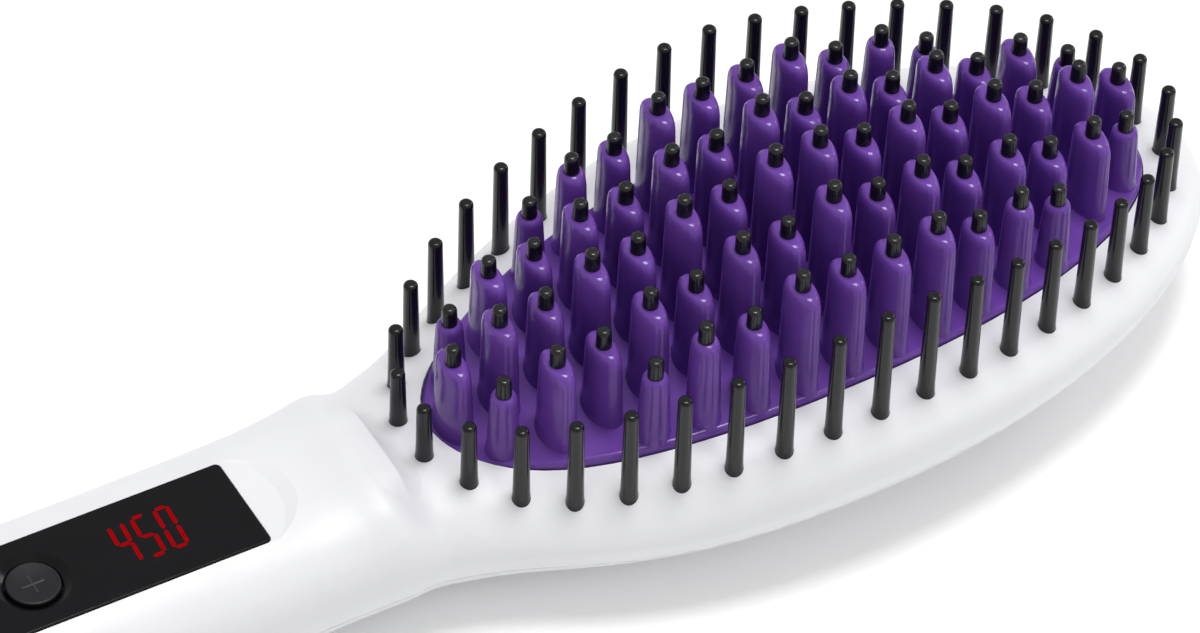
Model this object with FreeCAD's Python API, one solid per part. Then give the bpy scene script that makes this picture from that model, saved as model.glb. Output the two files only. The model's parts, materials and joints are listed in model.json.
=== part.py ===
import FreeCAD
import Part
import math
import os

# Hair straightening brush, lying on its back: bristles up, head towards +X.
# Millimetres. Z = 0 is the table, X = 0 the middle of the length, Y = 0 the plane of symmetry.
# Shapes are drawn from the middle of the head, and moved by head_x when they are written.

Vector = FreeCAD.Vector

# Whole body
overall_length = 284.0
head_half_length = 69.2
rear_half_length = 67.7
head_half_width = 36.0
wall = 2.2
flare_power = 3.2
flare_start = 27.7
curve_points = 16
overshoot = 1.0

# Top, side and bottom lines of the head
head_crown_height = 25.6
shoulder_distance = 35.0
front_shoulder_height = 24.1
rear_shoulder_height = 24.3
tip_top_height = 20.6
head_side_height = 16.7
front_side_height = 16.5
rear_side_height = 14.1
tip_side_height = 16.0
head_belly_depth = 0.8
back_rim_distance = 60.0
back_rim_height = 22.0
valley_distance = 67.5
valley_height = 22.2
crest_distance = 71.5
crest_height = 24.5
crest_half_width = 17.2
head_top_power = 4.1
tip_top_power = 2.7
rear_top_power = 2.1
rear_top_distance = 50.0
head_bottom_power = 1.9

# Ribs inside the back
rib_pitch = 30.0
rib_thickness = 1.6
rib_top_height = 6.5

# Handle
waist_distance = 92.0
waist_half_width = 16.4
grip_distance = 160.0
grip_half_width = 17.2
tail_half_width = 14.8
handle_tilt = 3.5
handle_thickness = 25.0
belly_distance = 112.0
belly_depth = 0.3
neck_distance = 76.0
neck_bottom_height = 1.2
neck_side_rise = 0.7
tail_thickness = 21.0
handle_top_power = 2.9
handle_bottom_power = 2.1
end_round_length = 13.0
end_round_share = 0.25

# Parting of the two shells, with its lap joint
parting_drop = 3.0
parting_points = 24
parting_reach = 20.0
parting_gap = 0.1
lap_height = 1.6
lap_clearance = 0.1

# Heater plate and its fins
plate_half_length = 59.8
plate_half_width = 24.75
plate_thickness = 2.2
plate_crown_height = 25.9
plate_arch_radius = 330.0
plate_edge_bevel = 0.6
plate_clearance = 0.25
seat_width = 5.0
seat_wall = 1.2
seat_bottom_height = 15.2
gasket_thickness = 0.8

fin_pitch = 7.5
fin_row_spacing = 9.72
fin_outer_row = 19.84
fin_half_thickness = 2.45
fin_half_width = 4.35
fin_root_flare = 0.3
fin_root_height = 0.8
fin_edge_margin = 0.1
fin_edge_allowance = 0.5
fin_least_share = 1.03
fin_counts = (16, 15, 10)
fin_tall_extra = 2.3
fin_peak_height = 51.4
fin_end_drop = 11.7
fin_row_drop = 0.085
fin_corner_drop = 3.0
crown_power = 1.25
fin_dome_height = 2.3
fin_draft = 0.4
fin_end_share = 0.62
fin_crest_border = 0.15
fin_crest_drop = 1.9

tip_radius = 1.1
tip_base_radius = 1.18
tip_corner = 0.65
tip_height = 3.2
tip_peg_radius = 0.75
tip_peg_length = 2.6
tip_peg_clearance = 0.05
tip_peg_gap = 0.2

# Rim pins
pin_count = 40
pin_ring_half_length = 63.6
pin_ring_half_width = 30.3
pin_peak_height = 45.0
pin_end_drop = 12.8
pin_base_radius = 1.3
pin_root_radius = 1.25
pin_tip_radius = 1.07
pin_corner = 0.6
pin_base_height = 0.5
pin_flare_height = 1.4
pin_head_radius = 1.6
pin_head_height = 0.9
pin_hole_clearance = 0.06
pin_seat_clearance = 0.2

# Heater stack under the plate
pad_half_length = 38.0
pad_half_width = 10.0
pad_bottom_height = 18.8
heater_length = 30.0
heater_width = 15.0
heater_thickness = 1.8
heater_spacing = 2.0
mica_thickness = 0.5
clamp_thickness = 1.2
clamp_flange_height = 2.4
clamp_overhang = 3.0
clamp_screw_x = 34.8
clamp_screw_y = 6.0
clamp_screw_grip = 3.0
plate_screw_bite = 1.4
fuse_radius = 2.0
fuse_length = 12.0
fuse_x = -2.0
sensor_radius = 1.4
sensor_length = 6.0
sensor_x = 12.0
capsule_y = 4.5
capsule_wire_radius = 0.35
capsule_wire_length = 6.5

# Control panel, buttons and board, in the tilted frame of the panel
panel_distance = 89.7
panel_height = 23.4
panel_length = 74.0
panel_width = 16.1
panel_thickness = 1.6
panel_rise = 0.3
panel_edge = 0.22
panel_corner = 0.8
panel_clearance = 0.12
panel_crown = 0.55
panel_ledge = 1.5
frame_depth = 1.8
frame_border = 2.4
scallop_radius = 10.5
scallop_reach = 5.0
scallop_slope = 16.0
scallop_height = 3.6

button_radius = 3.9
button_gap = 0.3
button_pitch = 14.0
button_first = 32.9
button_sink = 0.25
button_dish_depth = 0.25
button_edge = 0.3
button_travel = 0.5
button_flange = 0.7
button_flange_thickness = 0.8
button_flange_gap = 0.2
dish_radius = 5.4
dish_depth = 0.7

board_drop = 7.4
board_thickness = 1.6
board_half_width = 11.2
board_margin = 3.0
display_centre = 14.9
display_length = 20.0
display_width = 10.0
display_gap = 0.3
switch_side = 6.0
switch_height = 3.5
stem_radius = 1.7
stem_clearance = 0.08
stem_insert = 1.1
stem_end_gap = 0.3
board_screw_first = 25.0
board_screw_pitch = 40.0
board_screw_y = 8.7
board_post_radius = 2.2
board_screw_grip = 3.5
capacitor_start = 36.0
capacitor_length = 16.0
capacitor_half_width = 4.0
capacitor_height = 9.5
heater_switch_start = 14.0
heater_switch_length = 15.0
heater_switch_half_width = 5.0
heater_switch_height = 4.5
terminal_start = 65.5
terminal_length = 9.0
terminal_half_width = 6.0
terminal_height = 8.0

# Screws
housing_screw_radius = 1.25
housing_screw_head_radius = 2.4
housing_screw_head_height = 1.6
housing_screw_floor = 3.0
housing_screw_grip = 4.5
housing_boss_radius = 3.0
boss_height = 5.5
tail_screw_distance = 172.0
end_screw_distance = 197.0
small_screw_radius = 1.0
small_screw_head_radius = 1.8
small_screw_head_height = 1.1
screw_clearance = 0.15
thread_clearance = 0.02
recess_clearance = 0.3
screw_end_gap = 0.3

# Swivel gland at the end of the handle
gland_reach = 6.0
gland_bore_radius = 2.9
gland_neck_radius = 4.3
gland_collar_radius = 5.6
gland_flange_radius = 5.8
gland_flange_thickness = 2.0
gland_running_clearance = 0.06
gland_end_play = 0.15
gland_lip = 0.8

# Heater leads
lead_radius = 0.8
lead_start_y = 2.5
lead_end_y = 5.5
lead_low_height = 13.8
lead_run = 11.5
lead_slope_end = 52.0
lead_level_end = 74.0
lead_bend = 6.0

# Values worked out from the sizes above
head_x = overall_length / 2.0 - head_half_length
housing_end = overall_length - head_half_length - gland_reach
tilt = math.radians(handle_tilt)
crown_length = (max(fin_counts) - 1) / 2.0 * fin_pitch
frame_bottom = panel_thickness + frame_depth
button_top = panel_rise - button_sink
button_bottom = -(panel_thickness + button_flange_gap + button_flange_thickness)
panel_end = panel_distance + panel_length
waist_start = panel_distance - scallop_reach
seat_middle = plate_half_length - 0.5 * seat_width
clamp_bottom = pad_bottom_height - heater_thickness - mica_thickness - clamp_thickness
switch_top = switch_height - board_drop


def blend(start, end, share):
    share = min(max(share, 0.0), 1.0)
    return start + (end - start) * share * share * (3.0 - 2.0 * share)


def curve_through(stations):
    """A smooth function through (place, value) stations that never swings past its stations."""
    stations = sorted(stations)
    steps = []
    for (x0, y0), (x1, y1) in zip(stations, stations[1:]):
        steps.append((y1 - y0) / (x1 - x0))
    slopes = [steps[0]]
    for before, after in zip(steps, steps[1:]):
        same_way = before * after > 0
        slopes.append(2.0 * before * after / (before + after) if same_way else 0.0)
    slopes.append(steps[-1])

    def value(x):
        x = min(max(x, stations[0][0]), stations[-1][0])
        i = 0
        while i < len(steps) - 1 and x > stations[i + 1][0]:
            i += 1
        x0, y0 = stations[i]
        x1, y1 = stations[i + 1]
        h = x1 - x0
        t = (x - x0) / h
        start = (1 + 2 * t) * (1 - t) ** 2 * y0 + t * (1 - t) ** 2 * h * slopes[i]
        finish = t * t * (3 - 2 * t) * y1 - t * t * (1 - t) * h * slopes[i + 1]
        return start + finish

    return value


def handle_top(u):
    """The straight top line of the handle, in line with the panel and a little above it."""
    return panel_height + panel_crown + (-u - panel_distance) * math.tan(tilt)


handle_width = curve_through([
    (-crest_distance, crest_half_width),
    (-waist_distance, waist_half_width),
    (-grip_distance, grip_half_width),
    (-housing_end, tail_half_width),
])
top_line = curve_through([
    (head_half_length, tip_top_height),
    (shoulder_distance, front_shoulder_height),
    (0.0, head_crown_height),
    (-shoulder_distance, rear_shoulder_height),
    (-back_rim_distance, back_rim_height),
    (-valley_distance, valley_height),
    (-crest_distance, crest_height),
    (-waist_start, handle_top(-waist_start)),
    (-panel_distance, handle_top(-panel_distance)),
    (-housing_end, handle_top(-housing_end)),
])
bottom_line = curve_through([
    (0.0, -head_belly_depth),
    (-neck_distance, neck_bottom_height),
    (-belly_distance, -belly_depth),
    (-grip_distance, handle_top(-grip_distance) - 0.5 * (handle_thickness + tail_thickness)),
    (-housing_end, handle_top(-housing_end) - tail_thickness),
])
side_line = curve_through([
    (head_half_length, tip_side_height),
    (shoulder_distance, front_side_height),
    (0.0, head_side_height),
    (-shoulder_distance, rear_side_height),
    (-neck_distance, 0.5 * (handle_top(-neck_distance) + neck_bottom_height) + neck_side_rise),
    (-belly_distance, handle_top(-belly_distance) - 0.5 * handle_thickness),
    (-housing_end, handle_top(-housing_end) - 0.5 * tail_thickness),
])
top_power_line = curve_through([
    (head_half_length, tip_top_power),
    (0.0, head_top_power),
    (-rear_top_distance, rear_top_power),
    (-crest_distance, handle_top_power),
])


def half_width(u, inset):
    """Half width in plan: an ellipse for the head that flares into the handle."""
    length = (head_half_length if u > 0 else rear_half_length) - inset
    head = (head_half_width - inset) * math.sqrt(max(1.0 - (u / length) ** 2, 0.0))
    share = (-u - head_half_width) / (valley_distance - head_half_width)
    handle = blend(0.0, handle_width(u) - inset, share)
    return (head ** flare_power + handle ** flare_power) ** (1.0 / flare_power)


def round_off(u, inset, power):
    """Share of the full height that is left near the tip of the head and the end of the handle."""
    length = head_half_length - inset
    if u > 0:
        return max(1.0 - (u / length) ** power, 0.0) ** (1.0 / power)
    into = (-u - (housing_end - end_round_length)) / end_round_length
    if into > 0:
        return 1.0 - end_round_share * (1.0 - math.sqrt(max(1.0 - into * into, 0.0)))
    return 1.0


def section(u, inset):
    """Half width, side height, rise, depth and the two powers of one cross-section."""
    to_handle = (-u - flare_start) / (head_half_length - flare_start)
    top_power = top_power_line(u)
    bottom_power = blend(head_bottom_power, handle_bottom_power, to_handle)
    side = side_line(u)
    rise = (top_line(u) - inset - side) * round_off(u, inset, tip_top_power)
    depth = (side - bottom_line(u) - inset) * round_off(u, inset, head_bottom_power)
    width = half_width(u, inset)
    if u < 0:
        width *= round_off(u, inset, tip_top_power)
    return width, side, rise, depth, top_power, bottom_power


def half_section(u, width, side, height, power, sign):
    points = []
    for i in range(curve_points + 1):
        angle = math.pi * i / curve_points
        c = math.cos(angle)
        s = math.sin(angle)
        r = (abs(c) ** power + abs(s) ** power) ** (-1.0 / power)
        points.append(Vector(u, sign * width * r * c, side + sign * height * r * s))
    points[0].z = side
    points[-1].z = side
    curve = Part.BSplineCurve()
    places = [i / curve_points for i in range(curve_points + 1)]
    curve.interpolate(Points=points, Parameters=places)
    return curve.toShape()


def body_stations(inset):
    """Places of the cross-sections: at every bend of the lines, and between them where they curve."""
    end = housing_end - inset
    round_start = housing_end - end_round_length
    stations = [-end + (end - round_start) * share for share in (0.0, 0.12, 0.4, 0.75)]
    stations += [-round_start + (round_start - panel_end) * share for share in (0.1, 0.45, 0.8)]
    stations += [-panel_end + (panel_end - belly_distance) * share for share in (0.15, 0.5, 0.77)]
    stations += [-belly_distance, -0.5 * (belly_distance + panel_distance), -panel_distance]
    stations += [-waist_start, -neck_distance, -crest_distance, -valley_distance]
    stations += [-0.5 * (valley_distance + back_rim_distance), -back_rim_distance]
    stations += [-head_half_length * share for share in (0.81, 0.74, 0.65, 0.5, 0.33, 0.16, 0.0)]
    for angle in (15, 30, 45, 58, 69, 78, 84.5):
        stations.append((head_half_length - inset) * math.sin(math.radians(angle)))
    return stations


def body(inset):
    """The whole outside form, drawn in by an inset on every side."""
    sections = []
    for u in body_stations(inset):
        width, side, rise, depth, top_power, bottom_power = section(u, inset)
        upper = half_section(u, width, side, rise, top_power, 1)
        lower = half_section(u, width, side, depth, bottom_power, -1)
        sections.append(Part.Wire([upper, lower]))
    tip = head_half_length - inset
    sections.append(Part.Vertex(Vector(tip, 0, side_line(head_half_length))))
    return Part.makeLoft(sections, True, False)


def top_at(u, y, inset):
    """Height of the top surface of the body at a place in plan."""
    width, side, rise, depth, power, bottom_power = section(u, inset)
    return side + rise * max(1.0 - (abs(y) / width) ** power, 0.0) ** (1.0 / power)


def bottom_at(u):
    """Height of the middle of the back at a place along the length."""
    width, side, rise, depth, power, bottom_power = section(u, 0.0)
    return side - depth


def parting(u):
    """Height of the joint between the shells: under the side line, and on it at the gland."""
    return side_line(u) - blend(0.0, parting_drop, (housing_end + u) / panel_length)


gland_height = parting(-housing_end)


def above_parting(offset):
    """Everything above the joint line, raised by an offset."""
    sky = 4.0 * head_crown_height
    start = -housing_end - parting_reach
    length = housing_end + head_half_length + 2.0 * parting_reach
    points = []
    for i in range(parting_points + 1):
        u = start + length * i / parting_points
        points.append(Vector(u, -2.0 * head_half_width, parting(u) + offset))
    curve = Part.BSplineCurve()
    curve.interpolate(points)
    first = points[0]
    last = points[-1]
    corners = [last, Vector(last.x, last.y, sky), Vector(first.x, first.y, sky), first]
    edges = [curve.toShape()]
    for a, b in zip(corners, corners[1:]):
        edges.append(Part.makeLine(a, b))
    return Part.Face(Part.Wire(edges)).extrude(Vector(0, 4.0 * head_half_width, 0))


def box(x0, x1, y0, y1, z0, z1):
    return Part.makeBox(x1 - x0, y1 - y0, z1 - z0, Vector(x0, y0, z0))


def post(x, y, z0, z1, radius):
    return Part.makeCylinder(radius, z1 - z0, Vector(x, y, z0))


def arc(centre, radius, start, end):
    points = []
    for angle in (start, 0.5 * (start + end), end):
        points.append(centre + Vector(radius * math.cos(angle), radius * math.sin(angle), 0))
    return Part.Arc(*points).toShape()


def lens(centre, across, along):
    """An oval of four arcs in plan, long in Y: two flat side arcs and two small end arcs."""
    along = max(along, fin_least_share * across)
    end_radius = fin_end_share * across
    end_y = along - end_radius
    side_radius = (end_y ** 2 + across ** 2 - end_radius ** 2) / (2.0 * (across - end_radius))
    side_x = side_radius - across
    turn = math.atan2(end_y, side_x)
    return Part.Wire([
        arc(centre - Vector(side_x, 0, 0), side_radius, -turn, turn),
        arc(centre + Vector(0, end_y, 0), end_radius, turn, math.pi - turn),
        arc(centre + Vector(side_x, 0, 0), side_radius, math.pi - turn, math.pi + turn),
        arc(centre - Vector(0, end_y, 0), end_radius, math.pi + turn, 2.0 * math.pi - turn),
    ])


def oval_prism(along_x, along_y, z0, z1):
    """An upright oval block, its outline in two halves that meet on the cross axis."""
    oval = Part.Ellipse(Vector(along_x, 0, z0), Vector(0, along_y, z0), Vector(0, 0, z0))
    halves = []
    for start in (0.5 * math.pi, 1.5 * math.pi):
        halves.append(Part.ArcOfEllipse(oval, start, start + math.pi).toShape())
    return Part.Face(Part.Wire(halves)).extrude(Vector(0, 0, z1 - z0))


def turned(profile, axis_point, axis):
    """A solid of revolution from a closed list of points and ready-made edges."""
    face = Part.Face(Part.Wire(Part.sortEdges(profile)[0]))
    return face.revolve(axis_point, axis, 360)


def upright(steps, corner):
    """A round peg about Z through (radius, height) steps, its top rim rounded by a corner radius."""
    points = [Vector(0, 0, steps[0][1])]
    for radius, height in steps:
        points.append(Vector(radius, 0, height))
    radius, top = steps[-1]
    points[-1].z = top - corner
    slant = corner * math.sin(math.pi / 4)
    middle = Vector(radius - corner + slant, 0, top - corner + slant)
    rim = Vector(radius - corner, 0, top)
    crown = Vector(0, 0, top)
    edges = [Part.makeLine(a, b) for a, b in zip(points, points[1:])]
    edges.append(Part.Arc(points[-1], middle, rim).toShape())
    edges.append(Part.makeLine(rim, crown))
    edges.append(Part.makeLine(crown, points[0]))
    return turned(edges, Vector(0, 0, 0), Vector(0, 0, 1))


def on_panel(shape):
    """Moves a shape from the frame of the panel (front end, +Z out of the handle) to the body."""
    shape.rotate(Vector(0, 0, 0), Vector(0, 1, 0), handle_tilt)
    shape.translate(Vector(-panel_distance, 0, panel_height))
    return shape


def panel_point(x, y, z):
    u = -panel_distance + x * math.cos(tilt) + z * math.sin(tilt)
    return Vector(u, y, panel_height - x * math.sin(tilt) + z * math.cos(tilt))


def rounded_plate(x0, x1, half, z0, z1, corner):
    plate = box(x0, x1, -half, half, z0, z1)
    upright_edges = [e for e in plate.Edges if abs(e.tangentAt(e.FirstParameter).z) > 0.9]
    return plate.makeFillet(corner, upright_edges)


def under_arch(offset):
    """Everything below the arched top of the heater plate, moved up by an offset."""
    radius = plate_arch_radius + offset
    start = Vector(0, -2.0 * head_half_width, plate_crown_height - plate_arch_radius)
    return Part.makeCylinder(radius, 4.0 * head_half_width, start, Vector(0, 1, 0))


def plate_top(u):
    drop = plate_arch_radius - math.sqrt(plate_arch_radius ** 2 - u * u)
    return plate_crown_height - drop


def crown_drop(distance, end_drop, half_length):
    return end_drop * (abs(distance) / half_length) ** crown_power


def button_places():
    names = ("plus", "power", "minus")
    return [(name, -button_first - i * button_pitch) for i, name in enumerate(names)]


def screw(x, y, z, radius, head_radius, head_height, grip):
    """A screw driven upwards: the top of its head bears at height z."""
    head = post(x, y, z - head_height, z, head_radius)
    slot = box(x - head_radius, x + head_radius, y - 0.2 * radius, y + 0.2 * radius,
               z - head_height, z - 0.6 * head_height)
    shank = post(x, y, z, z + grip - radius, radius)
    point = Part.makeCone(radius, 0.4 * radius, radius, Vector(x, y, z + grip - radius))
    return head.cut(slot).fuse([shank, point]).removeSplitter()


def housing_screws():
    places = [seat_middle, -seat_middle, -tail_screw_distance, -end_screw_distance]
    return [(u, bottom_at(u) + boss_height) for u in places]


def plate_screws():
    """Places of the screws that hold the plate down, on the middle of its seat."""
    along = seat_middle * math.cos(math.pi / 4)
    across = (plate_half_width - 0.5 * seat_width) * math.sin(math.pi / 4)
    return [(sx * along, sy * across) for sx in (1, -1) for sy in (1, -1)]


def clamp_screws():
    return [(sx * clamp_screw_x, sy * clamp_screw_y) for sx in (1, -1) for sy in (1, -1)]


def board_screws():
    places = []
    for i in range(2):
        for side in (1, -1):
            places.append((-board_screw_first - i * board_screw_pitch, side * board_screw_y))
    return places


def pin_places():
    """Evenly spaced places round the pin oval, none of them on the long axis."""
    steps = 3600
    lengths = [0.0]
    points = []
    for i in range(steps + 1):
        angle = 2.0 * math.pi * i / steps
        points.append((pin_ring_half_length * math.cos(angle), pin_ring_half_width * math.sin(angle)))
        if i:
            lengths.append(lengths[-1] + math.dist(points[i], points[i - 1]))
    places = []
    i = 0
    for k in range(pin_count):
        wanted = (k + 0.5) * lengths[-1] / pin_count
        while lengths[i] < wanted:
            i += 1
        places.append(points[i])
    return places


def pin_seat(u, y):
    """Height of the underside of the rim where the head of a pin bears."""
    heights = []
    for k in range(8):
        angle = 2.0 * math.pi * k / 8
        du = pin_head_radius * math.cos(angle)
        dy = pin_head_radius * math.sin(angle)
        heights.append(top_at(u + du, y + dy, wall))
    return min(heights) - pin_seat_clearance


def fin_places():
    """Place, half width and height of every fin: rows across, tall and short by turns."""
    places = []
    rows = [(0.0, fin_counts[0]), (fin_row_spacing, fin_counts[1]), (fin_outer_row, fin_counts[2])]
    for row_y, count in rows:
        for j in range(count):
            u = (j - 0.5 * (count - 1)) * fin_pitch
            from_end = min(j, count - 1 - j)
            tall = from_end % 2 == 1
            edge_u = abs(u) + fin_half_thickness - fin_edge_allowance
            edge_y = plate_half_width * math.sqrt(1.0 - (edge_u / plate_half_length) ** 2)
            outer_y = min(row_y + fin_half_width, edge_y - fin_edge_margin)
            if row_y == 0.0:
                outer_y = fin_half_width
            inner_y = row_y - fin_half_width
            half = max(0.5 * (outer_y - inner_y), fin_least_share * fin_half_thickness)
            y = 0.5 * (outer_y + inner_y)
            height = fin_peak_height - crown_drop(u, fin_end_drop, crown_length)
            height -= fin_row_drop * row_y + tip_height
            height -= fin_corner_drop * abs(u) / crown_length * row_y / fin_outer_row
            if not tall:
                height -= fin_tall_extra
            for side in ((1, -1) if row_y else (1,)):
                places.append((u, side * y, half, height))
    return places


def fin(u, y, half, height):
    """A tapered fin with a rounded crest, its root flared and sunk into the plate."""
    root = plate_top(u)
    shoulder = height - fin_dome_height
    shoulder_x = fin_half_thickness - fin_draft
    shoulder_y = half - fin_draft
    crest_x = tip_base_radius + fin_crest_border
    crest_y = max(half - fin_crest_drop, crest_x)
    flanks = [
        lens(Vector(u, y, root - fin_root_height), fin_half_thickness + fin_root_flare,
             half + fin_root_flare),
        lens(Vector(u, y, root + fin_root_height), fin_half_thickness, half),
        lens(Vector(u, y, shoulder), shoulder_x, shoulder_y),
    ]
    crest = []
    for step in range(4):
        angle = math.pi * step / 6
        out = math.cos(angle)
        place = Vector(u, y, shoulder + fin_dome_height * math.sin(angle))
        across = crest_x + (shoulder_x - crest_x) * out
        along = crest_y + (shoulder_y - crest_y) * out
        crest.append(lens(place, across, along))
    return Part.makeLoft(flanks, True, True).fuse(Part.makeLoft(crest, True, False))


def make_upper_housing(outer, inner):
    """Front shell: rim, plate seat, panel frame, bosses and half of the gland bearing."""
    upper = outer.common(above_parting(parting_gap)).cut(inner)
    lap = body(0.5 * wall).cut(above_parting(lap_height + lap_clearance))
    upper = upper.cut(lap)

    seat = oval_prism(plate_half_length + plate_clearance + seat_wall,
                      plate_half_width + plate_clearance + seat_wall,
                      seat_bottom_height, 2.0 * head_crown_height)
    hollow = oval_prism(plate_half_length - seat_width, plate_half_width - seat_width,
                        0.0, 2.0 * head_crown_height)
    frame_half = 0.5 * panel_width + panel_clearance + frame_border
    frame = on_panel(box(-panel_length - frame_border, frame_border, -frame_half, frame_half,
                         -frame_bottom, frame_bottom))
    additions = [seat.cut(hollow).common(outer), frame.common(outer)]
    for u, split in housing_screws():
        additions.append(post(u, 0, split, 2.0 * head_crown_height, housing_boss_radius).common(outer))
    for x, y in board_screws():
        additions.append(on_panel(post(x, y, -board_drop, -0.5 * frame_bottom, board_post_radius)))
    upper = upper.fuse(additions)
    for shape in panel_cuts():
        upper = upper.cut(shape)

    pocket = oval_prism(plate_half_length + plate_clearance, plate_half_width + plate_clearance,
                        seat_bottom_height, 2.0 * head_crown_height)
    upper = upper.cut(pocket.cut(under_arch(-plate_thickness - gasket_thickness)))
    opening = oval_prism(plate_half_length - seat_width, plate_half_width - seat_width,
                         seat_bottom_height, 2.0 * head_crown_height)
    upper = upper.cut(opening)
    cuts = [gland_bore()]
    for u, y in pin_places():
        cuts.append(post(u, y, pin_seat(u, y) - wall, 2.0 * head_crown_height,
                         pin_base_radius + pin_hole_clearance))
    for u, y in plate_screws():
        cuts.append(post(u, y, seat_bottom_height - overshoot, head_crown_height,
                         small_screw_radius + screw_clearance))
    for u, split in housing_screws():
        cuts.append(post(u, 0, split - overshoot, split + housing_screw_grip + screw_end_gap,
                         housing_screw_radius + thread_clearance))
    for x, y in board_screws():
        cuts.append(on_panel(post(x, y, -board_drop - overshoot, -board_drop + board_screw_grip,
                                  small_screw_radius + thread_clearance)))
    return upper.cut(cuts).removeSplitter()


def panel_cuts():
    """The flat facet with its scalloped ends, the pocket of the window and the way through it."""
    spread = scallop_height / math.tan(math.radians(scallop_slope))
    front = scallop_reach - scallop_radius
    back = -panel_length - scallop_reach + scallop_radius
    facet = box(back, front, -head_half_width, head_half_width, 0.0, scallop_height)
    cones = []
    for x in (front, back):
        cones.append(Part.makeCone(scallop_radius, scallop_radius + spread, scallop_height,
                                   Vector(x, 0, 0)))
    half = 0.5 * panel_width + panel_clearance
    pocket = rounded_plate(-panel_length - panel_clearance, panel_clearance, half,
                           -panel_thickness, scallop_height, panel_corner + panel_clearance)
    way = box(-panel_length + panel_ledge, -panel_ledge, panel_ledge - half, half - panel_ledge,
              -2.0 * frame_bottom, scallop_height)
    return [on_panel(shape) for shape in [facet, pocket, way] + cones]


def gland_bore():
    start = Vector(-housing_end - overshoot, 0, gland_height)
    radius = gland_neck_radius + gland_running_clearance
    return Part.makeCylinder(radius, wall + 2.0 * overshoot, start, Vector(1, 0, 0))


def make_lower_housing(outer, inner):
    """Back shell: flat rest, lap lip, ribs, screw towers and the other half of the gland bearing."""
    ground = box(-overall_length, overall_length, -overall_length, overall_length, 0.0,
                 2.0 * head_crown_height)
    lower = outer.cut(above_parting(0.0)).common(ground).cut(inner)
    lip = body(0.5 * wall + lap_clearance).cut(inner).cut(above_parting(lap_height))
    lip = lip.common(above_parting(-0.5 * lap_height))
    additions = [lip]
    skin = body(0.5 * wall)
    for u in (-rib_pitch, 0.0, rib_pitch):
        rib = box(u - 0.5 * rib_thickness, u + 0.5 * rib_thickness, -head_half_width, head_half_width,
                  0.0, rib_top_height)
        additions.append(rib.common(skin).common(ground))
    for u, split in housing_screws():
        tower = post(u, 0, 0.0, split, housing_boss_radius + wall)
        additions.append(tower.common(outer))
    lower = lower.fuse(additions)
    cuts = [gland_bore()]
    for u, split in housing_screws():
        floor = split - housing_screw_floor
        cuts.append(post(u, 0, -overshoot, split + overshoot, housing_screw_radius + screw_clearance))
        cuts.append(post(u, 0, -overshoot, floor, housing_screw_head_radius + recess_clearance))
    return lower.cut(cuts).removeSplitter()


def make_heater_plate():
    """Arched oval plate with its fins on top, and a flat pad for the heaters underneath."""
    slab = oval_prism(plate_half_length, plate_half_width, 0.0, 2.0 * head_crown_height)
    slab = slab.common(under_arch(0.0)).cut(under_arch(-plate_thickness))
    top_edges = [e for e in slab.Edges if e.BoundBox.ZMax > plate_crown_height - 0.5 * plate_thickness
                 and e.BoundBox.XLength > 0.5 * plate_half_length]
    slab = slab.makeFillet(plate_edge_bevel, top_edges)
    pad = box(-pad_half_length, pad_half_length, -pad_half_width, pad_half_width,
              pad_bottom_height, plate_crown_height)
    pad = pad.common(under_arch(-0.5 * plate_thickness))
    fins = [fin(*place) for place in fin_places()]
    plate = slab.fuse([pad] + fins)
    cuts = []
    for u, y, half, height in fin_places():
        cuts.append(post(u, y, height - tip_peg_length - tip_peg_gap, height + overshoot,
                         tip_peg_radius + tip_peg_clearance))
    for u, y in clamp_screws():
        cuts.append(post(u, y, pad_bottom_height - overshoot, pad_bottom_height + clamp_screw_grip,
                         small_screw_radius + thread_clearance))
    for u, y in plate_screws():
        under = plate_top(u) - plate_thickness
        cuts.append(post(u, y, under - overshoot, under + plate_screw_bite + screw_end_gap,
                         small_screw_radius + thread_clearance))
    return plate.cut(cuts)


def make_tooth_tips():
    """One heat-proof tip in the crest of each fin."""
    steps = [(tip_peg_radius, -tip_peg_length), (tip_peg_radius, 0.0), (tip_base_radius, 0.0),
             (tip_radius, tip_height)]
    tip = upright(steps, tip_corner)
    tips = []
    for u, y, half, height in fin_places():
        copy = tip.copy()
        copy.translate(Vector(u, y, height))
        tips.append(copy)
    return tips


def make_rim_pins():
    """Pins that stand through the rim, each held by a head under it."""
    pins = []
    for u, y in pin_places():
        surface = top_at(u, y, 0.0)
        seat = pin_seat(u, y)
        top = pin_peak_height - crown_drop(u, pin_end_drop, pin_ring_half_length)
        root = surface + pin_base_height
        steps = [(pin_head_radius, seat - pin_head_height), (pin_head_radius, seat),
                 (pin_base_radius, seat), (pin_base_radius, root),
                 (pin_root_radius, root + pin_flare_height), (pin_tip_radius, top)]
        pin = upright(steps, pin_corner)
        pin.translate(Vector(u, y, 0))
        pins.append(pin)
    return pins


def make_gasket():
    """Soft ring between the plate and its seat."""
    ring = oval_prism(plate_half_length, plate_half_width, 0.0, 2.0 * head_crown_height)
    ring = ring.cut(oval_prism(plate_half_length - seat_width, plate_half_width - seat_width,
                               0.0, 2.0 * head_crown_height))
    ring = ring.common(under_arch(-plate_thickness))
    ring = ring.cut(under_arch(-plate_thickness - gasket_thickness))
    holes = [post(u, y, 0.0, head_crown_height, small_screw_radius + recess_clearance)
             for u, y in plate_screws()]
    return ring.cut(holes)


def make_heaters():
    """Two ceramic heaters side by side along the pad."""
    top = pad_bottom_height
    start = 0.5 * heater_spacing
    heaters = []
    for side in (1, -1):
        x0, x1 = sorted((side * start, side * (start + heater_length)))
        heaters.append(box(x0, x1, -0.5 * heater_width, 0.5 * heater_width, top - heater_thickness, top))
    return heaters


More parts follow.
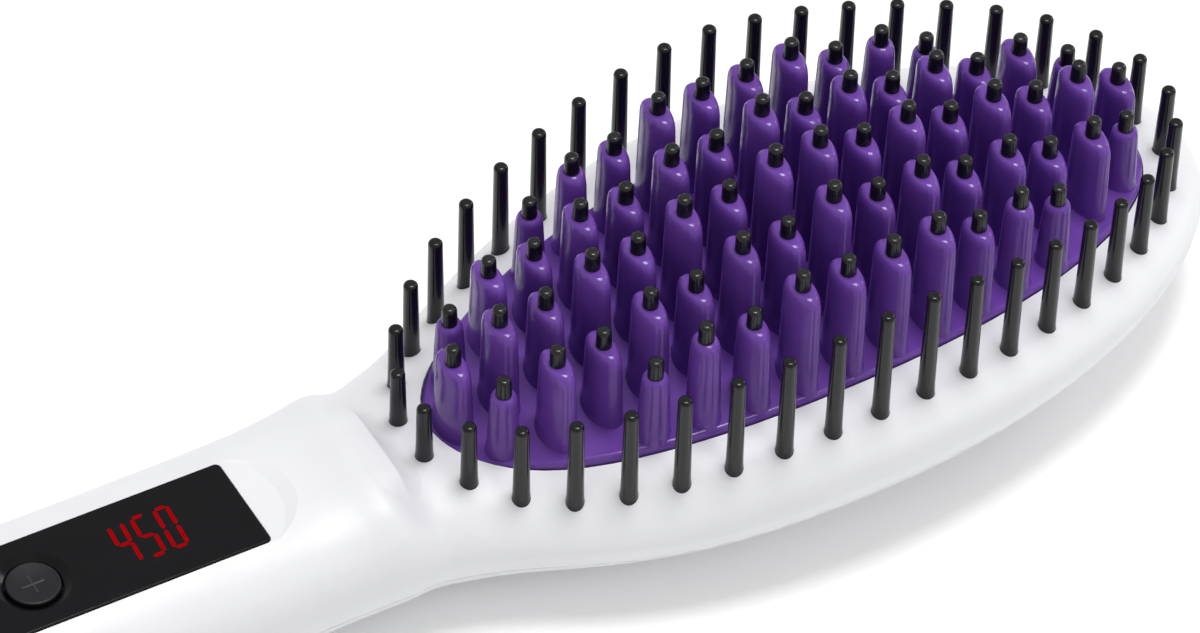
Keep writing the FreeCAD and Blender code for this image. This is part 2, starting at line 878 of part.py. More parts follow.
def make_insulation_sheet():
    top = pad_bottom_height - heater_thickness
    sheet = box(-pad_half_length, pad_half_length, -pad_half_width, pad_half_width,
                top - mica_thickness, top)
    holes = [post(u, y, 0.0, head_crown_height, small_screw_radius + screw_clearance)
             for u, y in clamp_screws()]
    return sheet.cut(holes)


def make_heater_clamp():
    """Pressed channel that holds the heaters against the pad."""
    half = pad_half_length + clamp_overhang
    top = clamp_bottom + clamp_thickness
    web = box(-half, half, -pad_half_width, pad_half_width, clamp_bottom, top)
    flanges = []
    for side in (1, -1):
        y0, y1 = sorted((side * pad_half_width, side * (pad_half_width - clamp_thickness)))
        flanges.append(box(-pad_half_length, pad_half_length, y0, y1,
                           clamp_bottom - clamp_flange_height, top))
    clamp = web.fuse(flanges)
    holes = [post(u, y, 0.0, head_crown_height, small_screw_radius + screw_clearance)
             for u, y in clamp_screws()]
    return clamp.cut(holes).removeSplitter()


def make_small_screws(places, seat_height, grip):
    return [screw(u, y, seat_height, small_screw_radius, small_screw_head_radius,
                  small_screw_head_height, grip) for u, y in places]


def capsule(x, y, radius, length):
    """A round component lying along X under the clamp, with a wire at each end."""
    along = Vector(1, 0, 0)
    z = clamp_bottom - radius
    start = Vector(x - 0.5 * length, y, z)
    case = Part.makeCylinder(radius, length, start, along)
    ends = [e for e in case.Edges if e.Curve.TypeId == "Part::GeomCircle"]
    case = case.makeFillet(0.4 * radius, ends)
    start.x -= capsule_wire_length
    wires = Part.makeCylinder(capsule_wire_radius, length + 2.0 * capsule_wire_length, start, along)
    return case.fuse(wires).removeSplitter()


def make_window():
    """Glossy cover of the panel, a little proud, with a dished seat round each button."""
    window = rounded_plate(-panel_length, 0.0, 0.5 * panel_width, -panel_thickness, panel_rise,
                           panel_corner)
    top_edges = [e for e in window.Edges if e.BoundBox.ZMin > 0.5 * panel_rise]
    window = window.makeFillet(panel_edge, top_edges)
    hole = button_radius + button_gap
    dish_floor = panel_rise - dish_depth
    cuts = []
    for name, x in button_places():
        cuts.append(post(x, 0, -2.0 * panel_thickness, panel_thickness, hole))
        cuts.append(Part.makeCone(hole, dish_radius, dish_depth, Vector(x, 0, dish_floor)))
    return on_panel(window.cut(cuts))


def make_button(x):
    """A round cap with a hollowed top, kept in by a flange under the window."""
    flange_radius = button_radius + button_gap + button_flange
    flange_top = button_bottom + button_flange_thickness
    steps = [(flange_radius, button_bottom), (flange_radius, flange_top), (button_radius, flange_top),
             (button_radius, button_top)]
    button = upright(steps, button_edge)
    rim = button_radius - button_edge
    ball_radius = (rim ** 2 + button_dish_depth ** 2) / (2.0 * button_dish_depth)
    ball = Part.makeSphere(ball_radius, Vector(0, 0, button_top - button_dish_depth + ball_radius))
    button = button.cut(ball)
    button.translate(Vector(x, 0, 0))
    return on_panel(button)


def make_stem(x):
    return on_panel(post(x, 0, switch_top - stem_insert, button_bottom, stem_radius))


def make_switches():
    """Push switches on the board, each with a well for its stem."""
    half = 0.5 * switch_side
    switches = []
    for name, x in button_places():
        case = box(x - half, x + half, -half, half, -board_drop, switch_top)
        bottom = switch_top - stem_insert - button_travel - stem_end_gap
        well = post(x, 0, bottom, switch_top + overshoot,
                    stem_radius + stem_clearance)
        switches.append(on_panel(case.cut(well)))
    return switches


def make_board():
    board = box(-panel_length - board_margin, board_margin, -board_half_width, board_half_width,
                -board_drop - board_thickness, -board_drop)
    holes = [post(x, y, -2.0 * board_drop, 0.0, small_screw_radius + screw_clearance)
             for x, y in board_screws()]
    return on_panel(board.cut(holes))


def make_display():
    """Three-digit display block that stands on the board under the window."""
    half = 0.5 * display_length
    block = box(-display_centre - half, -display_centre + half, -0.5 * display_width,
                0.5 * display_width, -board_drop, -panel_thickness - display_gap)
    return on_panel(block)


def make_board_screws():
    seat = -board_drop - board_thickness
    screws = make_small_screws(board_screws(), seat, board_thickness + board_screw_grip - screw_end_gap)
    return [on_panel(screw_shape) for screw_shape in screws]


def under_board(start, length, half, height):
    """A block-shaped component that hangs under the board."""
    seat = -board_drop - board_thickness
    return on_panel(box(-start - length, -start, -half, half, seat - height, seat))


def make_gland():
    """Swivel sleeve for the cord: a collar outside, a neck in the end wall, a flange inside."""
    inside = -housing_end + wall + gland_end_play
    outside = -housing_end - gland_end_play
    mouth = -housing_end - gland_reach
    back = inside + gland_flange_thickness
    bore = gland_bore_radius
    profile = [(mouth, bore + gland_lip), (mouth, gland_collar_radius - gland_lip),
               (mouth + gland_lip, gland_collar_radius), (outside, gland_collar_radius),
               (outside, gland_neck_radius), (inside, gland_neck_radius),
               (inside, gland_flange_radius), (back, gland_flange_radius), (back, bore),
               (mouth + gland_lip, bore), (mouth, bore + gland_lip)]
    points = [Vector(x, 0, gland_height + r) for x, r in profile]
    edges = [Part.makeLine(a, b) for a, b in zip(points, points[1:])]
    return turned(edges, Vector(0, 0, gland_height), Vector(1, 0, 0))


def make_lead(side):
    """A heater lead: out between pad and clamp, down under the seat, and on to the board."""
    start = Vector(-0.5 * heater_spacing - heater_length, side * lead_start_y,
                   pad_bottom_height - 0.5 * heater_thickness)
    end = panel_point(board_margin, side * lead_end_y, -board_drop - 0.5 * board_thickness)
    route = [start, Vector(start.x - lead_run, start.y, start.z),
             Vector(-lead_slope_end, side * lead_end_y, lead_low_height),
             Vector(-lead_level_end, side * lead_end_y, lead_low_height), end]
    edges = []
    here = route[0]
    for before, corner, after in zip(route, route[1:], route[2:]):
        back = (before - corner).normalize()
        on = (after - corner).normalize()
        half_turn = 0.5 * (math.pi - back.getAngle(on))
        reach = lead_bend * math.tan(half_turn)
        entry = corner + back * reach
        leave = corner + on * reach
        centre = corner + (back + on).normalize() * (lead_bend / math.cos(half_turn))
        middle = centre + (corner - centre).normalize() * lead_bend
        edges.append(Part.makeLine(here, entry))
        edges.append(Part.Arc(entry, middle, leave).toShape())
        here = leave
    edges.append(Part.makeLine(here, route[-1]))
    ring = Part.Wire([Part.makeCircle(lead_radius, start, Vector(1, 0, 0))])
    return Part.Wire(edges).makePipeShell([ring], True, False)


def write(name, shapes):
    group = shapes if isinstance(shapes, list) else [shapes]
    solids = [solid for shape in group for solid in shape.Solids]
    whole = Part.makeCompound(solids) if len(solids) > 1 else solids[0]
    whole.translate(Vector(head_x, 0, 0))
    whole.exportStep("parts/" + name + ".step")
    state = "valid" if all(s.isValid() for s in solids) else "NOT VALID"
    print(name, len(solids), state, round(sum(s.Volume for s in solids), 1))


def main():
    os.makedirs("parts", exist_ok=True)
    outer = body(0.0)
    inner = body(wall)
    write("upper_housing", make_upper_housing(outer, inner))
    write("lower_housing", make_lower_housing(outer, inner))
    write("heater_plate", make_heater_plate())
    write("tooth_tips", make_tooth_tips())
    write("rim_pins", make_rim_pins())
    write("plate_gasket", make_gasket())
    write("heaters", make_heaters())
    write("insulation_sheet", make_insulation_sheet())
    write("heater_clamp", make_heater_clamp())
    clamp_grip = pad_bottom_height - clamp_bottom + clamp_screw_grip - screw_end_gap
    write("clamp_screws", make_small_screws(clamp_screws(), clamp_bottom, clamp_grip))
    plate_grip = plate_top(plate_screws()[0][0]) - plate_thickness - seat_bottom_height + plate_screw_bite
    write("plate_screws", make_small_screws(plate_screws(), seat_bottom_height, plate_grip))
    write("thermal_fuse", capsule(fuse_x, capsule_y, fuse_radius, fuse_length))
    write("temperature_sensor", capsule(sensor_x, -capsule_y, sensor_radius, sensor_length))
    write("heater_leads", [make_lead(1), make_lead(-1)])
    write("panel_window", make_window())
    for name, x in button_places():
        write("button_" + name, make_button(x))
        write("stem_" + name, make_stem(x))
    write("push_switches", make_switches())
    write("control_board", make_board())
    write("board_screws", make_board_screws())
    write("display_block", make_display())
    write("mains_capacitor", under_board(capacitor_start, capacitor_length, capacitor_half_width,
                                         capacitor_height))
    write("heater_switch", under_board(heater_switch_start, heater_switch_length,
                                       heater_switch_half_width, heater_switch_height))
    write("mains_terminal", under_board(terminal_start, terminal_length, terminal_half_width,
                                        terminal_height))
    write("swivel_gland", make_gland())
    screws = [screw(u, 0, split - housing_screw_floor, housing_screw_radius, housing_screw_head_radius,
                    housing_screw_head_height, housing_screw_floor + housing_screw_grip)
              for u, split in housing_screws()]
    write("housing_screws", screws)


main()
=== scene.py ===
import json
import math

import bmesh
import bpy
import numpy as np
from mathutils import Matrix, Vector
from mathutils.bvhtree import BVHTree


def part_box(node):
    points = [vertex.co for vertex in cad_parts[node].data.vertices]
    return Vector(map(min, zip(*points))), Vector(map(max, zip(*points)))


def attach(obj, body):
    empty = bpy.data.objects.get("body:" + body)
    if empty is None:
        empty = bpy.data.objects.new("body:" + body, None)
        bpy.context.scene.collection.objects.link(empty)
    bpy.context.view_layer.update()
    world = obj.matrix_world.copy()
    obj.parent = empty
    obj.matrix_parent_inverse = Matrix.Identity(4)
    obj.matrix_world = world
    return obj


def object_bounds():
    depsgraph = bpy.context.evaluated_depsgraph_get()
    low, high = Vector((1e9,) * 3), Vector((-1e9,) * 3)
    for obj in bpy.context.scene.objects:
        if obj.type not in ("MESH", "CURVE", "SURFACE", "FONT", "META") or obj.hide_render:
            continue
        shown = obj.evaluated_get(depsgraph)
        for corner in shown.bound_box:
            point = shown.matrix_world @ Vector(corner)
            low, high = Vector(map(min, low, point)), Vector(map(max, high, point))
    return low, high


# Looks of a hair straightening brush that lies on its back on a white table.
# Metres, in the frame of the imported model: +X to the tip of the head, +Z out of the bristles.

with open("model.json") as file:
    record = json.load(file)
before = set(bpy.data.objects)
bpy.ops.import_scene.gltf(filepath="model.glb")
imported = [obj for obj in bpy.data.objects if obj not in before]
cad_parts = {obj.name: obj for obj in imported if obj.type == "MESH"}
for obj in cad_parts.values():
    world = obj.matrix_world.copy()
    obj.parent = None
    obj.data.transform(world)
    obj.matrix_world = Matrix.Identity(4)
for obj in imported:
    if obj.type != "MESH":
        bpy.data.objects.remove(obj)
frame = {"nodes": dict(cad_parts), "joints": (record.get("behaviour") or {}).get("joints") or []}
cad_low, cad_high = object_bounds()

# Camera, as the photograph was taken
CAMERA_TARGET = Vector((0.04319, 0.00431, 0.025))
CAMERA_DISTANCE = 0.80119
CAMERA_AZIMUTH = math.radians(31.668)
CAMERA_ELEVATION = math.radians(48.060)
CAMERA_ROLL = math.radians(1.584)
CAMERA_LENS_MM = 167.23
CAMERA_CLIP_START = 0.01
SENSOR_WIDTH_MM = 36.0

# Panel frame: its tilt, which is the way the buttons are pressed, and its front end on the top face
press_axis = Vector(next(j for j in frame["joints"] if j["name"] == "plus_press")["axis"])
panel_up = -press_axis.normalized()
panel_along = Vector((panel_up.z, 0.0, -panel_up.x))
window_low, window_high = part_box("panel_window")
window_length = (window_high.x - window_low.x) / panel_along.x
panel_front = Vector((window_high.x, 0.0, window_high.z + window_length * panel_along.z))

# Display digits on the panel
DIGITS = "450"
DIGIT_HEIGHT = 0.0075
DIGIT_WIDTH = 0.00195
DIGIT_PITCH = 0.00355
DIGIT_CENTRE_X = -0.01500
DIGIT_CENTRE_Y = 0.00035
DIGIT_SLANT = 0.055
SEGMENT_WIDTH = 0.00060
SEGMENT_GAP = 0.00012
SEGMENT_LIFT = 0.00003

# Ridge across the neck: along X its flat top's start, its line and its foot on the rim,
# how far the top drops and how hollow the fall from line to foot is; along Y how far it
# has its full height and where it ends; then its grid, and how deep it lies in the shell
RIDGE_START = 0.0002
RIDGE_LINE = 0.0041
RIDGE_FOOT = 0.0078
RIDGE_DROP = 0.0003
RIDGE_FALL_POWER = 2.0
RIDGE_FULL = 0.0055
RIDGE_END = 0.0112
RIDGE_TOP_STEPS = 20
RIDGE_FALL_STEPS = 20
RIDGE_SIDE_STEPS = 112
RIDGE_SMOOTHING = 9
RIDGE_SINK = 0.00003
RIDGE_TUCK = 0.00014
RIDGE_ROOT = 0.0004

# White table: its half length, how far it lies below the part, its two tones and the scale
# of their clouds, its roughness, and how much brighter it is where it is seen
FLOOR_SIZE = 3.0
FLOOR_DROP = 0.0003
FLOOR_DARK = (0.93, 0.93, 0.93)
FLOOR_LIGHT = (0.95, 0.95, 0.95)
FLOOR_CLOUD = 3.0
FLOOR_ROUGHNESS = 0.9
FLOOR_LIFT = 0.10

# White studio round it
SKY_STRENGTH = 0.55

# Signs on the buttons, and the hollow of the caps that they follow
SIGN_LENGTH = 0.0034
SIGN_WIDTH = 0.00030
SIGN_LIFT = 0.00003
SIGN_STEPS = 12
RING_RADIUS = 0.00135
RING_OPENING = math.radians(35.0)
RING_STEPS = 36
POWER_BAR_START = 0.2
CAP_SINK = 0.00025
CAP_HOLLOW = 0.00025
CAP_RIM_RADIUS = 0.0036

# Materials: the noise and the span of it that is used, how strongly grain and marks show,
# and how much the roughness changes over a surface
NOISE_ROUGHNESS = 0.55
NOISE_LOW = 0.3
NOISE_HIGH = 0.7
GRAIN_STRENGTH = 0.25
MARK_STRENGTH = 0.35
CLOUD_GLOSS = (-0.05, 0.06)
MARK_GLOSS = (0.07, -0.06)
GLOSS_FINENESS = 5.0
COAT_ROUGHNESS = 0.12

# Lit segments: the lens's tones as shares of the lit colour, their clouds and roughness,
# and the weakest glow
LENS_DARK = 0.05
LENS_LIGHT = 0.10
LENS_CLOUD = 900.0
LENS_ROUGHNESS = 0.3
WEAKEST_GLOW = 0.8


def point_on_panel(x, y, lift):
    return panel_front + panel_along * x + Vector((0.0, y, 0.0)) + panel_up * lift


def link(obj):
    bpy.context.scene.collection.objects.link(obj)
    return obj


def add_strip(bm, a, b):
    """Faces between two rows of points."""
    for k in range(len(a) - 1):
        bm.faces.new((a[k], a[k + 1], b[k + 1], b[k]))


def to_object(bm, name, material):
    mesh = bpy.data.meshes.new(name)
    bm.to_mesh(mesh)
    bm.free()
    mesh.materials.append(material)
    return link(bpy.data.objects.new(name, mesh))


# Materials


def new_material(name):
    material = bpy.data.materials.new(name)
    material.use_nodes = True
    tree = material.node_tree
    shader = tree.nodes["Principled BSDF"]
    place = tree.nodes.new("ShaderNodeTexCoord").outputs["Object"]
    return material, tree, shader, place


def stretched(tree, place, scale):
    mapping = tree.nodes.new("ShaderNodeMapping")
    mapping.inputs["Scale"].default_value = scale
    tree.links.new(place, mapping.inputs["Vector"])
    return mapping.outputs["Vector"]


def noise(tree, place, scale, detail=3.0):
    node = tree.nodes.new("ShaderNodeTexNoise")
    node.inputs["Scale"].default_value = scale
    node.inputs["Detail"].default_value = detail
    node.inputs["Roughness"].default_value = NOISE_ROUGHNESS
    tree.links.new(place, node.inputs["Vector"])
    return node.outputs["Fac"]


def spread(tree, value, low, high):
    node = tree.nodes.new("ShaderNodeMapRange")
    node.inputs["From Min"].default_value = NOISE_LOW
    node.inputs["From Max"].default_value = NOISE_HIGH
    node.inputs["To Min"].default_value = low
    node.inputs["To Max"].default_value = high
    tree.links.new(value, node.inputs["Value"])
    return node.outputs["Result"]


def two_tone(tree, shader, value, dark, light):
    mix = tree.nodes.new("ShaderNodeMix")
    mix.data_type = "RGBA"
    mix.inputs["A"].default_value = (*dark, 1.0)
    mix.inputs["B"].default_value = (*light, 1.0)
    tree.links.new(spread(tree, value, 0.0, 1.0), mix.inputs["Factor"])
    tree.links.new(mix.outputs["Result"], shader.inputs["Base Color"])


def bump(tree, shader, value, strength, distance):
    node = tree.nodes.new("ShaderNodeBump")
    node.inputs["Strength"].default_value = strength
    node.inputs["Distance"].default_value = distance
    tree.links.new(value, node.inputs["Height"])
    tree.links.new(node.outputs["Normal"], shader.inputs["Normal"])


def moulded(name, dark, light, roughness, grain=2500.0, grain_depth=0.00001, cloud=40.0,
            coat=0.0, shine=0.5):
    """Moulded plastic: faint clouds of colour, uneven gloss and a fine mould grain."""
    material, tree, shader, place = new_material(name)
    clouds = noise(tree, place, cloud)
    two_tone(tree, shader, clouds, dark, light)
    gloss = noise(tree, place, GLOSS_FINENESS * cloud, detail=5.0)
    uneven = spread(tree, gloss, roughness + CLOUD_GLOSS[0], roughness + CLOUD_GLOSS[1])
    tree.links.new(uneven, shader.inputs["Roughness"])
    bump(tree, shader, noise(tree, place, grain, detail=2.0), GRAIN_STRENGTH, grain_depth)
    shader.inputs["Specular IOR Level"].default_value = shine
    shader.inputs["Coat Weight"].default_value = coat
    shader.inputs["Coat Roughness"].default_value = COAT_ROUGHNESS
    return material


def streaked(name, dark, light, roughness, stretch, depth, metallic=0.0, shine=0.5):
    """A drawn or moulded surface whose marks run along one direction."""
    material, tree, shader, place = new_material(name)
    marks = noise(tree, stretched(tree, place, stretch), 1.0, detail=4.0)
    two_tone(tree, shader, marks, dark, light)
    uneven = spread(tree, marks, roughness + MARK_GLOSS[0], roughness + MARK_GLOSS[1])
    tree.links.new(uneven, shader.inputs["Roughness"])
    bump(tree, shader, marks, MARK_STRENGTH, depth)
    shader.inputs["Metallic"].default_value = metallic
    shader.inputs["Specular IOR Level"].default_value = shine
    return material


def glowing(name, color):
    """A lit segment: a red lens with an uneven glow behind it."""
    material, tree, shader, place = new_material(name)
    clouds = noise(tree, place, LENS_CLOUD)
    two_tone(tree, shader, clouds, tuple(LENS_DARK * c for c in color),
             tuple(LENS_LIGHT * c for c in color))
    shader.inputs["Roughness"].default_value = LENS_ROUGHNESS
    shader.inputs["Specular IOR Level"].default_value = 0.0
    shader.inputs["Emission Color"].default_value = (*color, 1.0)
    tree.links.new(spread(tree, clouds, WEAKEST_GLOW, 1.0), shader.inputs["Emission Strength"])
    return material


white_shell = moulded("white_shell", (0.776, 0.779, 0.802), (0.814, 0.817, 0.840), 0.42)
purple_coat = moulded("purple_coat", (0.134, 0.050, 0.304), (0.166, 0.062, 0.390), 0.20,
                      grain=900.0, grain_depth=0.00004, cloud=120.0, shine=0.32)
pin_nylon = streaked("pin_nylon", (0.0025, 0.0025, 0.003), (0.007, 0.007, 0.008), 0.20,
                     (2600.0, 2600.0, 90.0), 0.00005, shine=0.36)
tip_resin = streaked("tip_resin", (0.003, 0.003, 0.004), (0.009, 0.009, 0.010), 0.26,
                     (1800.0, 1800.0, 120.0), 0.00008, shine=0.45)
panel_gloss = moulded("panel_gloss", (0.0012, 0.0010, 0.0020), (0.0022, 0.0019, 0.0032), 0.20,
                      grain=4000.0, grain_depth=0.000003, shine=0.24)
button_satin = moulded("button_satin", (0.007, 0.007, 0.009), (0.011, 0.011, 0.013), 0.36,
                       grain=5000.0, grain_depth=0.000010, shine=0.3)
grey_plastic = moulded("grey_plastic", (0.20, 0.20, 0.21), (0.27, 0.27, 0.28), 0.5)
silicone = moulded("silicone", (0.48, 0.46, 0.43), (0.58, 0.56, 0.53), 0.6, grain=1500.0)
ceramic = moulded("ceramic", (0.78, 0.75, 0.69), (0.86, 0.84, 0.79), 0.55, grain=6000.0)
mica = moulded("mica", (0.45, 0.36, 0.20), (0.60, 0.50, 0.32), 0.35, cloud=160.0, coat=0.2)
steel = streaked("steel", (0.46, 0.46, 0.48), (0.62, 0.62, 0.64), 0.33, (60.0, 2500.0, 2500.0),
                 0.000006, metallic=1.0)
zinc = streaked("zinc", (0.42, 0.43, 0.46), (0.58, 0.58, 0.60), 0.36, (900.0, 900.0, 900.0),
                0.00001, metallic=1.0)
board_green = moulded("board_green", (0.020, 0.120, 0.045), (0.040, 0.190, 0.075), 0.32, cloud=300.0)
display_dark = moulded("display_dark", (0.045, 0.008, 0.008), (0.075, 0.014, 0.014), 0.28)
capacitor_coat = moulded("capacitor_coat", (0.50, 0.36, 0.03), (0.64, 0.48, 0.06), 0.30, coat=0.3)
gland_rubber = moulded("gland_rubber", (0.020, 0.020, 0.022), (0.034, 0.034, 0.037), 0.58, grain=1800.0)
segment_red = glowing("segment_red", (0.40, 0.0008, 0.0030))
sign_grey = moulded("sign_grey", (0.026, 0.026, 0.028), (0.034, 0.034, 0.036), 0.38, shine=0.3)

node_looks = {
    "upper_housing": white_shell, "lower_housing": white_shell, "heater_plate": purple_coat,
    "tooth_tips": tip_resin, "rim_pins": pin_nylon, "panel_window": panel_gloss,
    "button_plus": button_satin, "button_power": button_satin, "button_minus": button_satin,
    "stem_plus": grey_plastic, "stem_power": grey_plastic, "stem_minus": grey_plastic,
    "push_switches": grey_plastic, "heater_switch": grey_plastic, "mains_terminal": grey_plastic,
    "temperature_sensor": grey_plastic, "plate_gasket": silicone, "heater_leads": silicone,
    "heaters": ceramic, "insulation_sheet": mica, "heater_clamp": steel, "thermal_fuse": steel,
    "clamp_screws": zinc, "plate_screws": zinc, "board_screws": zinc, "housing_screws": zinc,
    "control_board": board_green, "display_block": display_dark, "mains_capacitor": capacitor_coat,
    "swivel_gland": gland_rubber,
}
for node, look in node_looks.items():
    mesh = frame["nodes"][node].data
    mesh.materials.clear()
    mesh.materials.append(look)


# Neck ridge: the moulded step by which the neck drops to the rim, fitted over the shell


def shell_heights(xs, ys):
    """Heights of the shell's top over a grid, with the facets of its mesh smoothed out."""
    shell = frame["nodes"]["upper_housing"]
    tree = BVHTree.FromPolygons([shell.matrix_world @ v.co for v in shell.data.vertices],
                                [tuple(p.vertices) for p in shell.data.polygons])
    down = Vector((0.0, 0.0, -1.0))
    heights = np.array([[tree.ray_cast(Vector((x, y, cad_high.z)), down)[0].z for y in ys]
                        for x in xs])
    for _ in range(RIDGE_SMOOTHING):
        wide = np.pad(heights, 1, mode="edge")
        along, across = wide[:, 1:-1], wide[1:-1, :]
        heights = (along[:-2] + along[2:] + across[:, :-2] + across[:, 2:] + 2.0 * heights) / 6.0
    return heights


def make_ridge():
    """A flat top from the shell's crest to the ridge's line, then a hollow fall to the rim."""
    top_xs = np.linspace(RIDGE_START, RIDGE_LINE, RIDGE_TOP_STEPS + 1)
    fall_xs = np.linspace(RIDGE_LINE, RIDGE_FOOT, RIDGE_FALL_STEPS + 1)[1:]
    xs = np.concatenate((top_xs, fall_xs))
    ys = np.linspace(-RIDGE_END, RIDGE_END, RIDGE_SIDE_STEPS + 1)
    shell = shell_heights(xs, ys)
    along = np.clip((xs - RIDGE_START) / (RIDGE_LINE - RIDGE_START), 0.0, 1.0)[:, None]
    beyond = np.clip((xs - RIDGE_LINE) / (RIDGE_FOOT - RIDGE_LINE), 0.0, 1.0)[:, None]
    crest, rim = shell[:1], shell[-1:]
    step = rim + (crest - RIDGE_DROP * along ** 2 - rim) * (1.0 - beyond) ** RIDGE_FALL_POWER
    side = np.clip((RIDGE_END - np.abs(ys)) / (RIDGE_END - RIDGE_FULL), 0.0, 1.0)
    share = side ** 2 * (3.0 - 2.0 * side)
    raised = shell + (step - shell) * share - RIDGE_SINK - RIDGE_TUCK * (1.0 - share)
    root = np.minimum(shell, raised) - RIDGE_ROOT

    bm = bmesh.new()
    layers = [[[bm.verts.new((x, y, z)) for y, z in zip(ys, row)] for x, row in zip(xs, heights)]
              for heights in (raised, root)]
    for layer in layers:
        for a, b in zip(layer, layer[1:]):
            add_strip(bm, a, b)
    upper, lower = layers
    for end in (0, -1):
        add_strip(bm, upper[end], lower[end])
    for end in (0, -1):
        add_strip(bm, [row[end] for row in upper], [row[end] for row in lower])
    bmesh.ops.recalc_face_normals(bm, faces=bm.faces)
    for face in bm.faces:
        face.smooth = True
    ridge = to_object(bm, "neck_ridge", white_shell)
    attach(ridge, "housing")


make_ridge()


# Display digits: seven bars each, with pointed ends

BARS = {
    "top": ((0, 1), (1, 1)), "middle": ((0, 0.5), (1, 0.5)), "bottom": ((0, 0), (1, 0)),
    "left_top": ((0, 0.5), (0, 1)), "left_bottom": ((0, 0), (0, 0.5)),
    "right_top": ((1, 0.5), (1, 1)), "right_bottom": ((1, 0), (1, 0.5)),
}
BARS_OF = {
    "4": ("left_top", "right_top", "middle", "right_bottom"),
    "5": ("top", "left_top", "middle", "right_bottom", "bottom"),
    "0": ("top", "left_top", "right_top", "left_bottom", "right_bottom", "bottom"),
}


def add_bar(bm, start, end):
    """A flat bar with pointed ends between two points of the panel."""
    along = (end - start).normalized()
    across = Vector((-along.y, along.x)) * (0.5 * SEGMENT_WIDTH)
    first = start + along * SEGMENT_GAP
    last = end - along * SEGMENT_GAP
    shoulder = along * (0.5 * SEGMENT_WIDTH)
    outline = [first, first + shoulder - across, last - shoulder - across,
               last, last - shoulder + across, first + shoulder + across]
    bm.faces.new([bm.verts.new(point_on_panel(p.x, p.y, SEGMENT_LIFT)) for p in outline])


def make_digits():
    bm = bmesh.new()
    for i, digit in enumerate(DIGITS):
        centre_x = DIGIT_CENTRE_X + (i - 0.5 * (len(DIGITS) - 1)) * DIGIT_PITCH
        for segment in BARS_OF[digit]:
            ends = []
            for across, up in BARS[segment]:
                y = (up - 0.5) * DIGIT_HEIGHT
                x = centre_x + (across - 0.5) * DIGIT_WIDTH + DIGIT_SLANT * y
                ends.append(Vector((x, DIGIT_CENTRE_Y + y)))
            add_bar(bm, *ends)
    digits = to_object(bm, "display_digits", segment_red)
    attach(digits, "housing")


make_digits()


# Signs on the buttons: thin raised lines in the hollow of each cap


def along_panel(node):
    low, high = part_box(node)
    return (0.5 * (low + high) - panel_front).dot(panel_along)


def add_line(bm, centre_x, points):
    """A thin raised line through points of a cap, as a strip with a ridge in its middle."""
    rows = []
    for i, point in enumerate(points):
        ahead = points[min(i + 1, len(points) - 1)] - points[max(i - 1, 0)]
        side = Vector((-ahead.y, ahead.x)).normalized() * (0.5 * SIGN_WIDTH)
        row = []
        for place, lift in ((point - side, 0.0), (point, SIGN_LIFT), (point + side, 0.0)):
            hollow = CAP_HOLLOW * (1.0 - (place.length / CAP_RIM_RADIUS) ** 2)
            height = SIGN_LIFT - CAP_SINK - hollow + lift
            row.append(bm.verts.new(point_on_panel(centre_x + place.x, place.y, height)))
        rows.append(row)
    for a, b in zip(rows, rows[1:]):
        add_strip(bm, a, b)


def bar(start, end):
    return [start.lerp(end, i / SIGN_STEPS) for i in range(SIGN_STEPS + 1)]


def ring(radius, opening):
    points = []
    for i in range(RING_STEPS + 1):
        angle = 0.5 * math.pi + opening + (2.0 * math.pi - 2.0 * opening) * i / RING_STEPS
        points.append(Vector((radius * math.cos(angle), radius * math.sin(angle))))
    return points


def make_sign(name, lines):
    bm = bmesh.new()
    centre_x = along_panel("button_" + name)
    for line in lines:
        add_line(bm, centre_x, line)
    bmesh.ops.recalc_face_normals(bm, faces=bm.faces)
    sign = to_object(bm, "sign_" + name, sign_grey)
    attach(sign, name + "_button")


half = 0.5 * SIGN_LENGTH
level_bar = bar(Vector((-half, 0.0)), Vector((half, 0.0)))
cross_bar = bar(Vector((0.0, -half)), Vector((0.0, half)))
make_sign("plus", [level_bar, cross_bar])
make_sign("minus", [level_bar])
power_bar = bar(Vector((0.0, POWER_BAR_START * half)), Vector((0.0, half)))
make_sign("power", [ring(RING_RADIUS, RING_OPENING), power_bar])


# Stage, light and camera


def floor_white():
    """A matt white, brighter where it is seen directly, in a reflection or through a piece."""
    material, tree, shader, place = new_material("floor_white")
    two_tone(tree, shader, noise(tree, place, FLOOR_CLOUD), FLOOR_DARK, FLOOR_LIGHT)
    shader.inputs["Roughness"].default_value = FLOOR_ROUGHNESS
    shader.inputs["Specular IOR Level"].default_value = 0.0
    path = tree.nodes.new("ShaderNodeLightPath")
    seen = path.outputs["Is Camera Ray"]
    for kind in ("Is Glossy Ray", "Is Transmission Ray"):
        either = tree.nodes.new("ShaderNodeMath")
        either.operation = "MAXIMUM"
        tree.links.new(seen, either.inputs[0])
        tree.links.new(path.outputs[kind], either.inputs[1])
        seen = either.outputs["Value"]
    lift = tree.nodes.new("ShaderNodeMapRange")
    lift.inputs["To Max"].default_value = FLOOR_LIFT
    tree.links.new(seen, lift.inputs["Value"])
    shader.inputs["Emission Color"].default_value = (1.0, 1.0, 1.0, 1.0)
    tree.links.new(lift.outputs["Result"], shader.inputs["Emission Strength"])
    return material


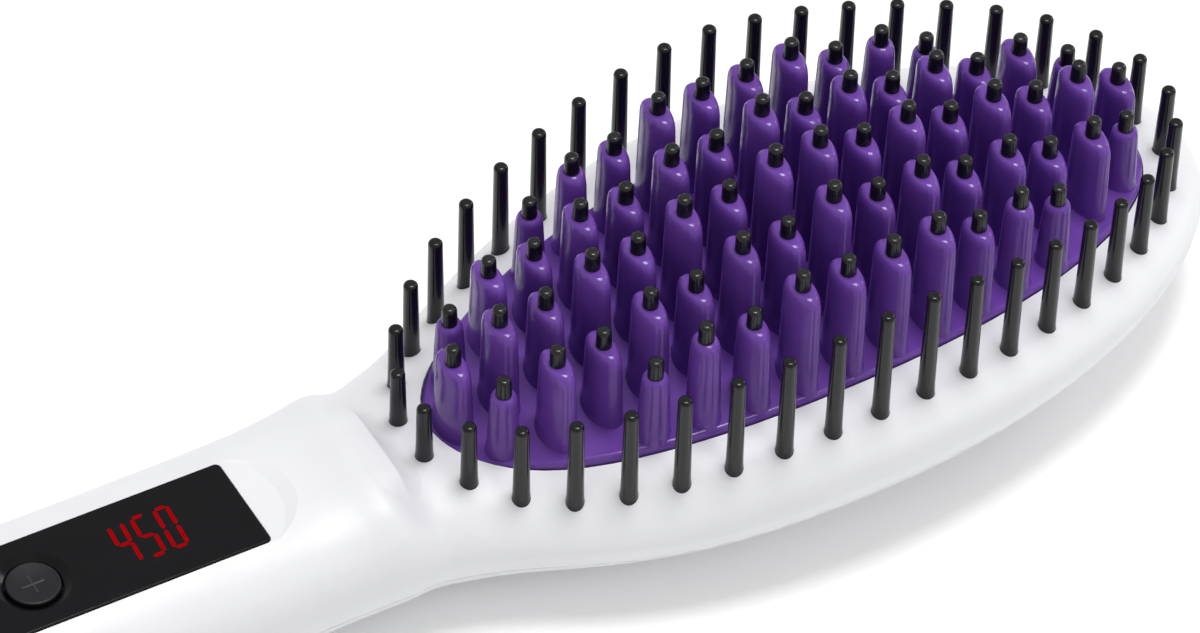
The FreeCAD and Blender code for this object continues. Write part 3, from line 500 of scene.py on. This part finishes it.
def make_floor():
    bm = bmesh.new()
    bmesh.ops.create_grid(bm, x_segments=1, y_segments=1, size=FLOOR_SIZE)
    floor = to_object(bm, "floor", floor_white())
    floor.location.z = -FLOOR_DROP


def area_light(name, place, aim, size, power):
    lamp = bpy.data.lights.new(name, "AREA")
    lamp.shape = "DISK"
    lamp.size = size
    lamp.energy = power
    light = link(bpy.data.objects.new(name, lamp))
    light.location = place
    light.rotation_euler = (Vector(aim) - Vector(place)).to_track_quat("-Z", "Y").to_euler()


def make_world():
    world = bpy.data.worlds.new("studio")
    bpy.context.scene.world = world
    world.use_nodes = True
    sky = world.node_tree.nodes["Background"]
    sky.inputs["Color"].default_value = (1.0, 1.0, 1.0, 1.0)
    sky.inputs["Strength"].default_value = SKY_STRENGTH


def make_camera():
    forward = Vector((math.sin(CAMERA_AZIMUTH) * math.cos(CAMERA_ELEVATION),
                      math.cos(CAMERA_AZIMUTH) * math.cos(CAMERA_ELEVATION),
                      -math.sin(CAMERA_ELEVATION)))
    level = forward.cross(Vector((0.0, 0.0, 1.0))).normalized()
    upright = level.cross(forward)
    right = level * math.cos(CAMERA_ROLL) + upright * math.sin(CAMERA_ROLL)
    up = upright * math.cos(CAMERA_ROLL) - level * math.sin(CAMERA_ROLL)
    data = bpy.data.cameras.new("camera")
    data.lens = CAMERA_LENS_MM
    data.sensor_width = SENSOR_WIDTH_MM
    data.clip_start = CAMERA_CLIP_START
    camera = link(bpy.data.objects.new("camera", data))
    turn = Matrix((right, up, -forward)).transposed().to_4x4()
    camera.matrix_world = Matrix.Translation(CAMERA_TARGET - forward * CAMERA_DISTANCE) @ turn
    bpy.context.scene.camera = camera


make_floor()
area_light("key", place=(0.22, 0.05, 1.30), aim=(0.05, 0.0, 0.02), size=0.45, power=9.0)
area_light("fill", place=(0.50, -1.00, 0.80), aim=(0.05, 0.0, 0.02), size=0.90, power=1.6)
area_light("side", place=(1.00, 0.12, 0.50), aim=(0.05, 0.0, 0.03), size=0.35, power=1.2)
make_world()
make_camera()
bpy.context.scene.view_settings.view_transform = "Standard"
